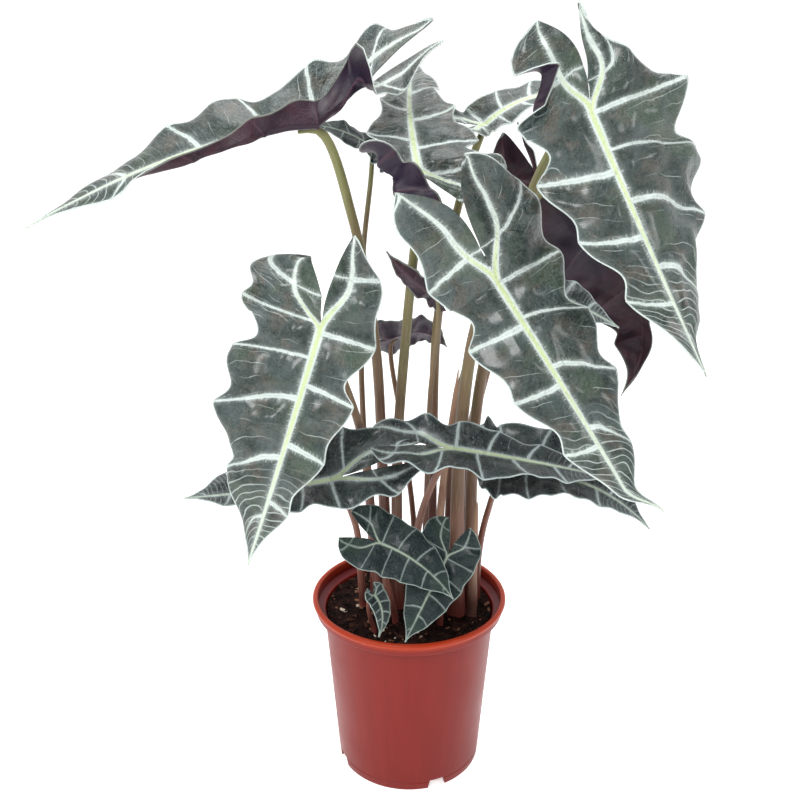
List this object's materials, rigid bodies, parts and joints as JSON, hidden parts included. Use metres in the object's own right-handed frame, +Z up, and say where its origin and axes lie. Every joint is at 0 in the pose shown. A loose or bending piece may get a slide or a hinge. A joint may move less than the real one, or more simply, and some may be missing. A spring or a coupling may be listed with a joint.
{
  "type": "potted alocasia",
  "caption": "Live alocasia houseplant: large arrow-shaped veined leaves on long stalks, rooted in soil in a tapered plastic nursery pot that stands on a floor, shelf or in a cover pot.",
  "frame": {"origin": "centre of the pot's base, on the surface that the pot stands on", "axes": "+Z is up, along the stalks; -Y is the plant's front; +X is to the right when seen from the front"},
  "size_m": [0.4763, 0.2559, 0.6429],
  "materials": {
    "pot_plastic": "satin",
    "soil": "matte",
    "corm": "matte",
    "leaf_blade": "satin",
    "leaf_stalk": "satin",
    "sheath": "matte"
  },
  "bodies": {
    "root": {"pot": "pot_plastic", "soil": "soil", "corm_left": "corm", "corm_middle": "corm", "corm_right": "corm", "corm_front": "corm", "sheath_tall": "sheath", "sheath_left": "sheath", "sheath_right": "sheath", "blade_left_high": "leaf_blade", "stalk_left_high": "leaf_stalk", "blade_crown": "leaf_blade", "stalk_crown": "leaf_stalk", "blade_centre": "leaf_blade", "stalk_centre": "leaf_stalk", "blade_right_high": "leaf_blade", "stalk_right_high": "leaf_stalk", "blade_left_front": "leaf_blade", "stalk_left_front": "leaf_stalk", "blade_low_right": "leaf_blade", "stalk_low_right": "leaf_stalk", "blade_low_back": "leaf_blade", "stalk_low_back": "leaf_stalk", "blade_low_left": "leaf_blade", "stalk_low_left": "leaf_stalk", "blade_right_back": "leaf_blade", "stalk_right_back": "leaf_stalk", "blade_top_back": "leaf_blade", "stalk_top_back": "leaf_stalk", "blade_mid_back": "leaf_blade", "stalk_mid_back": "leaf_stalk", "blade_small_back": "leaf_blade", "stalk_small_back": "leaf_stalk", "blade_folded_back": "leaf_blade", "stalk_folded_back": "leaf_stalk", "blade_left_back": "leaf_blade", "stalk_left_back": "leaf_stalk", "blade_young_left": "leaf_blade", "stalk_young_left": "leaf_stalk", "blade_young_right": "leaf_blade", "stalk_young_right": "leaf_stalk", "blade_bud": "leaf_blade", "stalk_bud": "leaf_stalk"}
  },
  "joints": []
}
